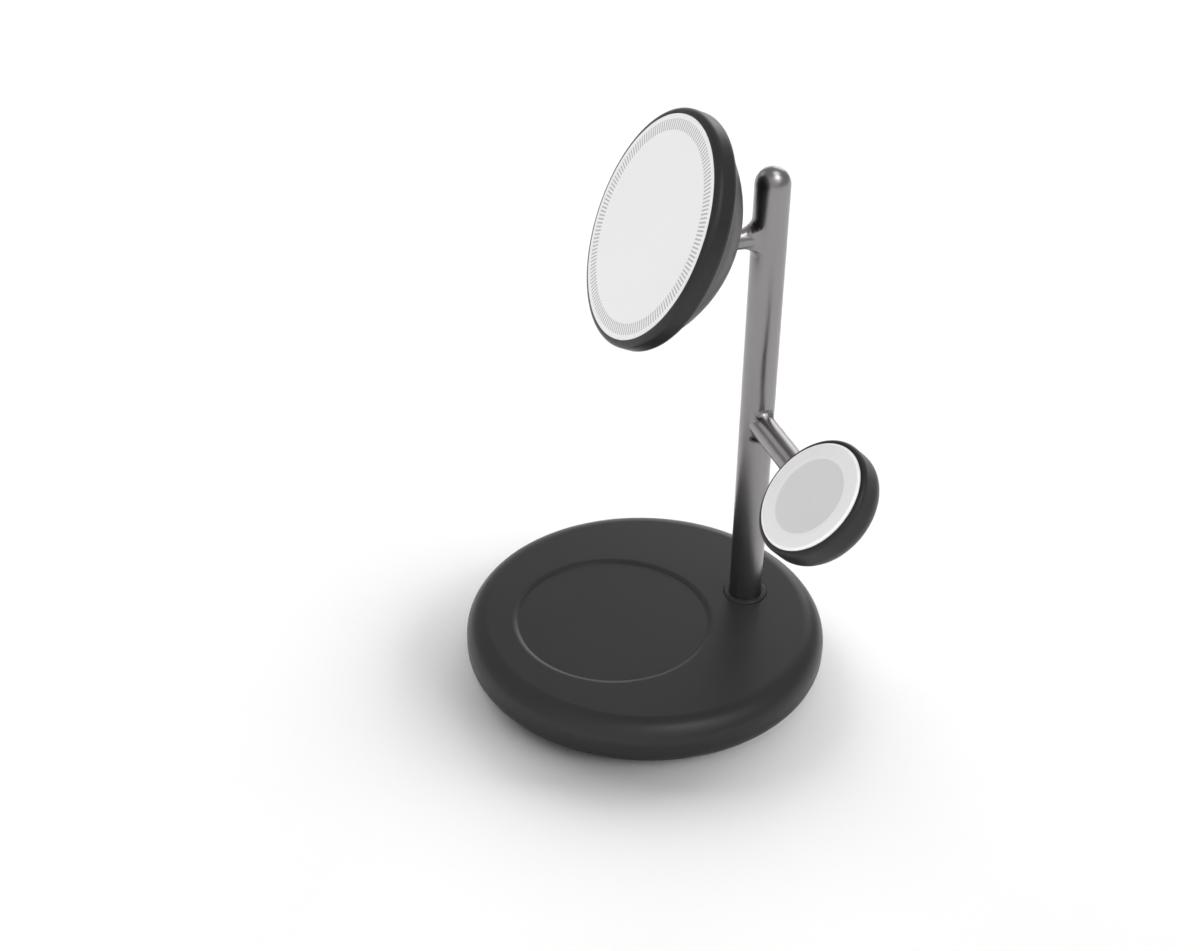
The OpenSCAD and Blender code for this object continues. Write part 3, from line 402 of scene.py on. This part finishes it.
mounts = {mount["name"]: mount for mount in frame["record"]["mounts"]}
hinges = {joint["name"]: Vector(joint["pos_m"]) for joint in frame["joints"]}
earbud_place, phone_face, watch_dish = [
    Vector(mounts[name]["pos_m"]) for name in ("earbud_place", "phone_face", "watch_dish")]
phone_look, watch_look = [Vector(mounts[name]["axis"]) for name in ("phone_face", "watch_dish")]


def facing(look, centre):
    """The place and turn of a disc whose own +Z looks that way, tilted about X."""
    return Matrix.Translation(centre) @ Matrix.Rotation(math.atan2(-look.y, look.z), 4, "X")


phone_frame = facing(phone_look, phone_face)
phone_turn = phone_frame.to_euler()
watch_turn = facing(watch_look, watch_dish).to_euler()

# The pieces' materials

base_black = moulded_black("base_black", BASE_BLACK, roughness=0.36, grain=0.35 * MM)
head_black = moulded_black("head_black", HEAD_BLACK, roughness=0.36, grain=0.3 * MM)
carrier_grey = moulded_black("carrier_grey", CARRIER_GREY, roughness=0.55, grain=0.4 * MM)
plate_zinc = plated_steel("plate_zinc", ZINC, roughness=0.35)
screw_black = plated_steel("screw_black", SCREW_BLACK, roughness=0.4)
socket_shell = plated_steel("socket_shell", SOCKET_STEEL, roughness=0.25)
magnet_nickel = plated_steel("magnet_nickel", NICKEL, roughness=0.2)
green_mask = board_mask()
black_resin = chip_resin()
ferrite = ferrite_plate()
sheath = lead_sheath()

FINISHES = {
    "base_shell": base_black,
    "bottom_cover": base_black,
    "stem_collar": base_black,
    "foot_pad": foot_rubber(),
    "ballast_plate": plate_zinc,
    "main_board": green_mask,
    "board_chips": black_resin,
    "usb_shell": socket_shell,
    "usb_tongue": black_resin,
    "earbud_coil": wound_copper("earbud_winding", earbud_place, (0, 0, 0), pitch=1.0 * MM),
    "earbud_ferrite": ferrite,
    "stem": stem_steel(),
    "stem_plate": plate_zinc,
    "stem_washer": plate_zinc,
    "stem_nut": plate_zinc,
    "phone_lead": sheath,
    "watch_lead": sheath,
    "phone_pin_left": plate_zinc,
    "phone_pin_right": plate_zinc,
    "phone_bezel": head_black,
    "phone_back": head_black,
    "phone_pad": white_pad(),
    "phone_carrier": carrier_grey,
    "phone_magnets": magnet_nickel,
    "phone_coil": wound_copper("phone_winding", phone_face, phone_turn, pitch=0.9 * MM),
    "phone_ferrite": ferrite,
    "phone_board": green_mask,
    "watch_housing": head_black,
    "watch_puck": white_puck(watch_dish, watch_turn),
    "watch_coil": wound_copper("watch_winding", watch_dish, watch_turn, pitch=0.7 * MM),
    "watch_magnet": magnet_nickel,
    "watch_ferrite": ferrite,
    "watch_board": green_mask,
    "watch_spindle": plate_zinc,
    "watch_keeper": socket_shell,
}
for name, piece in nodes.items():
    piece.data.materials.clear()
    piece.data.materials.append(screw_black if "_screw_" in name else FINISHES[name])


# Patterns made with Geometry Nodes

TICKS = 160
TICK_RADIUS = 25.55 * MM
TICK_LENGTH = 2.8 * MM
TICK_WIDTH = 0.42 * MM
TICK_HEIGHT = 0.02 * MM

CONTACTS = 12
CONTACT_PITCH = 0.5 * MM
CONTACT_SIZE = Vector((0.26, 3.4, 0.05)) * MM
# From the tongue's tip to the middle of a contact, and from the tongue's faces outwards
CONTACT_BACK = 2.2 * MM
CONTACT_LIFT = 0.005 * MM


class Pattern(Maker):
    """A Geometry Nodes tree with named inputs for its sizes, run once into a plain mesh."""

    def __init__(self, name, sizes):
        super().__init__(bpy.data.node_groups.new(name, "GeometryNodeTree"))
        self.name = name
        self.tree.interface.new_socket("Geometry", in_out="OUTPUT", socket_type="NodeSocketGeometry")
        self.values = {}
        for label, value in sizes.items():
            kind = "NodeSocketInt" if isinstance(value, int) else "NodeSocketFloat"
            socket = self.tree.interface.new_socket(label, in_out="INPUT", socket_type=kind)
            self.values[socket.identifier] = value
        self.size = {label: self.node("NodeGroupInput", {}, {}, label) for label in sizes}

    def vector(self, **parts):
        """A vector from its X, Y and Z, where those left out are 0."""
        return self.node("ShaderNodeCombineXYZ", {}, parts)

    def spread(self, shape, points, sockets):
        """A shape at each of some points."""
        return self.node("GeometryNodeInstanceOnPoints", {},
                         {"Points": points, "Instance": shape, **sockets})

    def row(self, shape, count, start, offset):
        """A shape over and over, an offset apart."""
        line = self.node("GeometryNodeMeshLine", {},
                         {"Count": count, "Start Location": start, "Offset": offset})
        return self.spread(shape, line, {})

    def bake(self, geometry, finish, matrix):
        """Runs the tree and leaves a plain mesh at its place."""
        real = self.node("GeometryNodeRealizeInstances", {}, {"Geometry": geometry})
        dressed = self.node("GeometryNodeSetMaterial", {}, {"Geometry": real, "Material": finish})
        self.node("NodeGroupOutput", {}, {"Geometry": dressed})
        host = bpy.data.objects.new(self.name, bpy.data.meshes.new(self.name))
        scene.collection.objects.link(host)
        modifier = host.modifiers.new("pattern", "NODES")
        modifier.node_group = self.tree
        for identifier, value in self.values.items():
            modifier[identifier] = value
        bpy.context.view_layer.update()
        evaluated = host.evaluated_get(bpy.context.evaluated_depsgraph_get())
        mesh = bpy.data.meshes.new_from_object(evaluated)
        host.modifiers.remove(modifier)
        mesh.transform(matrix)
        host.data = mesh
        return host


def tick_ring():
    """The printed ring of fine ticks on the phone pad."""
    pattern = Pattern("tick_ring", {"Count": TICKS, "Radius": TICK_RADIUS, "Length": TICK_LENGTH,
                                    "Width": TICK_WIDTH, "Height": TICK_HEIGHT})
    size = pattern.size
    ring = pattern.node("GeometryNodeMeshCircle", {},
                        {"Vertices": size["Count"], "Radius": size["Radius"]})
    bar = pattern.vector(X=size["Length"], Y=size["Width"], Z=size["Height"])
    tick = pattern.node("GeometryNodeMeshCube", {}, {"Size": bar})
    index = pattern.node("GeometryNodeInputIndex", {}, {})
    turn = pattern.vector(Z=index / size["Count"] * math.tau)
    return pattern.bake(pattern.spread(tick, ring, {"Rotation": turn}), tick_print(), phone_frame)


def socket_contacts():
    """The two rows of contacts on the socket's tongue."""
    low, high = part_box("usb_tongue")
    pattern = Pattern("socket_contacts", {"Count": CONTACTS, "Pitch": CONTACT_PITCH})
    strip = pattern.node("GeometryNodeMeshCube", {}, {"Size": CONTACT_SIZE})
    first = (-CONTACT_PITCH * (CONTACTS - 1) / 2, high.y - CONTACT_BACK, low.z - CONTACT_LIFT)
    lower = pattern.row(strip, pattern.size["Count"], first, pattern.vector(X=pattern.size["Pitch"]))
    apart = (0, 0, high.z - low.z + 2 * CONTACT_LIFT)
    return pattern.bake(pattern.row(lower, 2, (0, 0, 0), apart), contact_gold(), Matrix.Identity(4))


ticks = tick_ring()
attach(ticks, "phone_head")
contacts = socket_contacts()
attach(contacts, "stand")


# The barrel on the watch disc's back

# Where it starts and where its nose begins to round, counted along the arm from the disc's middle
BARREL_START = -14.9 * MM
BARREL_ROUND = -8.0 * MM
# Radii round the arm, and the radius of its open edge
BARREL_BORE = 3.6 * MM
BARREL_RADIUS = 4.5 * MM
BARREL_EDGE = 0.4 * MM
# How far the nose turns in and how far the barrel reaches round the arm each way, in degrees
BARREL_NOSE = 46
BARREL_HALF = 88
BARREL_STEPS = 44
SHARP_EDGE = math.radians(40)


def arc(centre, radius, first, last, count=8):
    """Points on an arc from one angle to another, in degrees from the first axis."""
    angles = [math.radians(first + (last - first) * k / count) for k in range(count + 1)]
    return [(centre[0] + radius * math.cos(a), centre[1] + radius * math.sin(a)) for a in angles]


def barrel_profile():
    """The barrel's wall, as distances along the arm and away from its axis."""
    edge_middle = (BARREL_START + BARREL_EDGE, BARREL_RADIUS - BARREL_EDGE)
    edge = arc(edge_middle, BARREL_EDGE, 180, 90)
    nose = arc((BARREL_ROUND, 0), BARREL_RADIUS, 90, 90 - BARREL_NOSE)
    inside = arc((BARREL_ROUND, 0), BARREL_BORE, 90 - BARREL_NOSE, 90)
    return [(BARREL_START, BARREL_BORE), *edge, *nose, *inside]


def watch_barrel():
    """Half a barrel with a round nose, which covers the end of the arm behind the disc."""
    profile = barrel_profile()
    count = len(profile)
    rear = -watch_look
    side = rear.cross(Vector((1, 0, 0)))
    points = []
    for k in range(BARREL_STEPS + 1):
        turn = math.radians(BARREL_HALF * (2 * k / BARREL_STEPS - 1))
        out = math.cos(turn) * rear + math.sin(turn) * side
        points += [hinges["watch_tilt"] + Vector((along, 0, 0)) + away * out for along, away in profile]
    faces = [tuple(range(count)), tuple(BARREL_STEPS * count + i for i in range(count))]
    for k in range(BARREL_STEPS):
        here, there = k * count, (k + 1) * count
        for i in range(count):
            j = (i + 1) % count
            faces.append((here + i, here + j, there + j, there + i))
    mesh = bpy.data.meshes.new("watch_barrel")
    mesh.from_pydata(points, [], faces)
    shell = bmesh.new()
    shell.from_mesh(mesh)
    bmesh.ops.recalc_face_normals(shell, faces=shell.faces)
    shell.to_mesh(mesh)
    shell.free()
    mesh.shade_smooth()
    mesh.set_sharp_from_angle(angle=SHARP_EDGE)
    mesh.materials.append(head_black)
    barrel = bpy.data.objects.new("watch_barrel", mesh)
    scene.collection.objects.link(barrel)
    return barrel


barrel = watch_barrel()
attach(barrel, "watch_head")


# Camera, fitted to the photograph

# The photograph's width and the focal length in pixels, and the sensor's width in millimetres
PHOTO_WIDTH = 1200
FOCAL_PIXELS = 1733
SENSOR = 36
# Half a pixel as a part of the width, because the fit counts pixels from the middle of the first one
HALF_PIXEL = 0.5 / PHOTO_WIDTH
CAMERA_TURN = math.radians(71.038)
CAMERA_PITCH = math.radians(33.322)
CAMERA_ROLL = math.radians(0.635)
CAMERA_PLACE = Vector((359.89, -137.34, 311.24)) * MM
NEAREST = 0.01
FURTHEST = 20


def photo_camera():
    """The camera at the photograph's place, with its turn, pitch, roll and focal length."""
    side = Vector((math.cos(CAMERA_TURN), math.sin(CAMERA_TURN), 0))
    level = Vector((-math.sin(CAMERA_TURN), math.cos(CAMERA_TURN), 0))
    ahead = math.cos(CAMERA_PITCH) * level - math.sin(CAMERA_PITCH) * Vector((0, 0, 1))
    over = side.cross(ahead)
    right = math.cos(CAMERA_ROLL) * side + math.sin(CAMERA_ROLL) * over
    up = math.cos(CAMERA_ROLL) * over - math.sin(CAMERA_ROLL) * side
    data = bpy.data.cameras.new("photo_camera")
    data.sensor_width = SENSOR
    data.lens = FOCAL_PIXELS * SENSOR / PHOTO_WIDTH
    data.shift_x = -HALF_PIXEL
    data.shift_y = HALF_PIXEL
    data.clip_start = NEAREST
    data.clip_end = FURTHEST
    camera = bpy.data.objects.new("photo_camera", data)
    scene.collection.objects.link(camera)
    turn = Matrix((right, up, -ahead)).transposed().to_4x4()
    camera.matrix_world = Matrix.Translation(CAMERA_PLACE) @ turn
    scene.camera = camera


photo_camera()


# Floor, world and lamps. Every angle is in degrees.

FLOOR_REACH = 6.0
FLOOR_LIFT = 0.02
WORLD_LEVEL = 0.08
REFLECTED_LEVEL = 0.42
LAMP_DISTANCE = 2.0
# Azimuth, elevation, inner radius, outer radius and level of each soft box
SOFT_BOXES = [
    (143, 19, 8, 18, 1.6),
    (155, 4, 10, 26, 0.9),
    (25, 52, 8, 28, 1.2),
    (20, 65, 3, 13, 3.5),
    (-30, 28, 20, 55, 0.35),
]
# Name, strength, spread, azimuth and elevation of each lamp
FLOOR_LAMPS = [
    ("floor_right", 3.35, 60, 60, 10),
    ("floor_right_rear", 2.85, 40, 100, 10),
    ("floor_rear", 4.1, 60, 140, 10),
    ("floor_left_rear", 1.75, 40, 180, 10),
    ("floor_left", 3.9, 60, 200, 10),
]
CHARGER_LAMPS = [
    ("fill_lamp", 0.6, 180, 0, 90),
    ("top_lamp", 1.3, 120, 0, 60),
    ("front_lamp", 1.45, 110, -60, 12),
    ("rear_lamp", 0.8, 110, 100, 25),
    ("side_lamp", 0.7, 110, 200, 25),
]
STEM_LAMPS = [
    ("dome_spot", 0.35, 17, 38, 56),
    ("phone_arm_band", 0.5, 30, 94, 74),
    ("watch_arm_band", 0.1, 24, -152, 28),
]


def aim(azimuth, elevation):
    """The direction at an azimuth, counted from +X towards +Y, and an elevation."""
    a, e = math.radians(azimuth), math.radians(elevation)
    return Vector((math.cos(a) * math.cos(e), math.sin(a) * math.cos(e), math.sin(e)))


def studio_world():
    """Even light all round, white where it is seen; shiny surfaces also show the soft boxes."""
    world = bpy.data.worlds.new("studio")
    scene.world = world
    world.use_nodes = True
    world.node_tree.nodes.clear()
    sky = Maker(world.node_tree)
    view = sky.node("ShaderNodeTexCoord", {}, {}, "Generated")
    mirrored = REFLECTED_LEVEL
    for azimuth, elevation, inner, outer, level in SOFT_BOXES:
        along = sky.node("ShaderNodeVectorMath", {"operation": "DOT_PRODUCT"},
                         {0: view, 1: aim(azimuth, elevation)}, "Value")
        glow = along.between(math.cos(math.radians(outer)), math.cos(math.radians(inner)))
        mirrored = level * glow + mirrored
    seen = sky.ray("Camera") + sky.ray("Transmission")
    strength = WORLD_LEVEL + (1 - WORLD_LEVEL) * seen + (mirrored - WORLD_LEVEL) * sky.ray("Glossy")
    light = sky.node("ShaderNodeBackground", {}, {"Color": (1, 1, 1, 1), "Strength": strength})
    sky.node("ShaderNodeOutputWorld", {}, {"Surface": light})


def floor_finish():
    """Matt white that looks a little lighter than the light on it makes it."""
    finish = Finish("floor_white")
    matt = finish.node("ShaderNodeBsdfPrincipled", {},
                       {"Base Color": (*FLOOR_WHITE, 1), "Roughness": 1.0, "Specular IOR Level": 0.0})
    seen = finish.ray("Camera") + finish.ray("Glossy") + finish.ray("Transmission")
    lift = finish.node("ShaderNodeEmission", {}, {"Strength": FLOOR_LIFT * seen})
    return finish.end(finish.node("ShaderNodeAddShader", {}, {0: matt, 1: lift}))


def white_floor():
    """A wide pale floor that stays white where nothing shades it."""
    corners = [(-1, -1), (1, -1), (1, 1), (-1, 1)]
    mesh = bpy.data.meshes.new("floor")
    mesh.from_pydata([(FLOOR_REACH * x, FLOOR_REACH * y, 0) for x, y in corners], [], [(0, 1, 2, 3)])
    mesh.materials.append(floor_finish())
    floor = bpy.data.objects.new("floor", mesh)
    scene.collection.objects.link(floor)
    return floor


def sun(lit, mirrored, name, strength, spread, azimuth, elevation):
    """One wide, soft lamp that stands at an azimuth and elevation."""
    data = bpy.data.lights.new(name, "SUN")
    data.energy = strength
    data.angle = math.radians(spread)
    lamp = bpy.data.objects.new(name, data)
    scene.collection.objects.link(lamp)
    towards = aim(azimuth, elevation)
    turn = towards.to_track_quat("Z", "Y").to_matrix().to_4x4()
    lamp.matrix_world = Matrix.Translation(LAMP_DISTANCE * towards) @ turn
    lamp.visible_glossy = mirrored
    lamp.light_linking.receiver_collection = lit


def light_alone(name, members, lamps, mirrored=False):
    """Lamps that light these members alone and, where mirrored, show as highlights in them."""
    lit = bpy.data.collections.new(name)
    for member in members:
        lit.objects.link(member)
    for lamp in lamps:
        sun(lit, mirrored, *lamp)


studio_world()
light_alone("on_floor", [white_floor()], FLOOR_LAMPS)
light_alone("on_charger", [*nodes.values(), ticks, contacts, barrel], CHARGER_LAMPS)
light_alone("on_stem", [nodes["stem"]], STEM_LAMPS, mirrored=True)
scene.view_settings.view_transform = "Standard"
